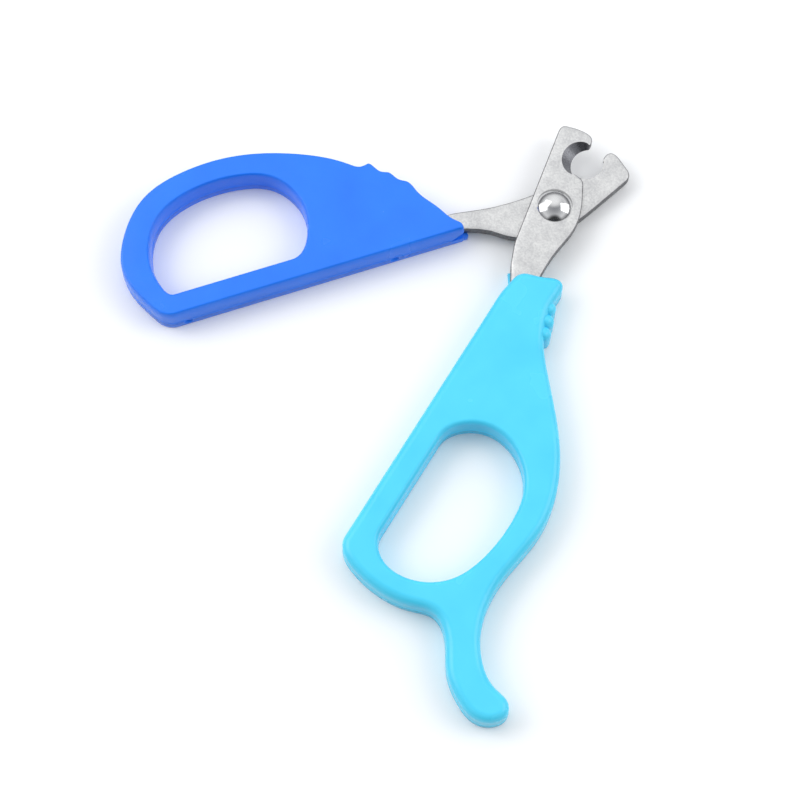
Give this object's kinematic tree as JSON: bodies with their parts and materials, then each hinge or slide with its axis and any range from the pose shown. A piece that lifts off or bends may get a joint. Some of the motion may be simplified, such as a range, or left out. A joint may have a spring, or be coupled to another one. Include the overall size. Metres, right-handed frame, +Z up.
{
  "type": "pet nail clipper",
  "caption": "Scissor-type pet nail clipper lying flat and half open: curved steel blades with a round nail notch, a domed rivet and two looped plastic handles.",
  "frame": {"origin": "middle of the whole outline's box, on the surface that the tool lies on", "axes": "+Z up, out of the surface that the tool lies on; +Y from the handles towards the blades, halfway between the two handles; +X to the light blue handle's side, so that the nail notch opens at the far end of +Y"},
  "size_m": [0.1384, 0.1052, 0.0076],
  "materials": {
    "dark_blue_plastic": "satin moulded",
    "light_blue_plastic": "satin moulded",
    "blade_steel": "tumbled satin",
    "polished_steel": "mirror polished",
    "washer_steel": "plain"
  },
  "bodies": {
    "light_side": {"light_blue_handle": "light_blue_plastic", "upper_blade": "blade_steel", "pivot_rivet": "polished_steel", "rivet_washer": "washer_steel"},
    "dark_side": {"dark_blue_handle": "dark_blue_plastic", "lower_blade": "blade_steel"}
  },
  "joints": [
    {"name": "rivet_pivot", "type": "hinge", "parent": "light_side", "child": "dark_side", "pos_m": [-0.01138, 0.03324, 0.0035], "axis": [0, 0, 1], "range_deg": [-30, 40.3]}
  ]
}
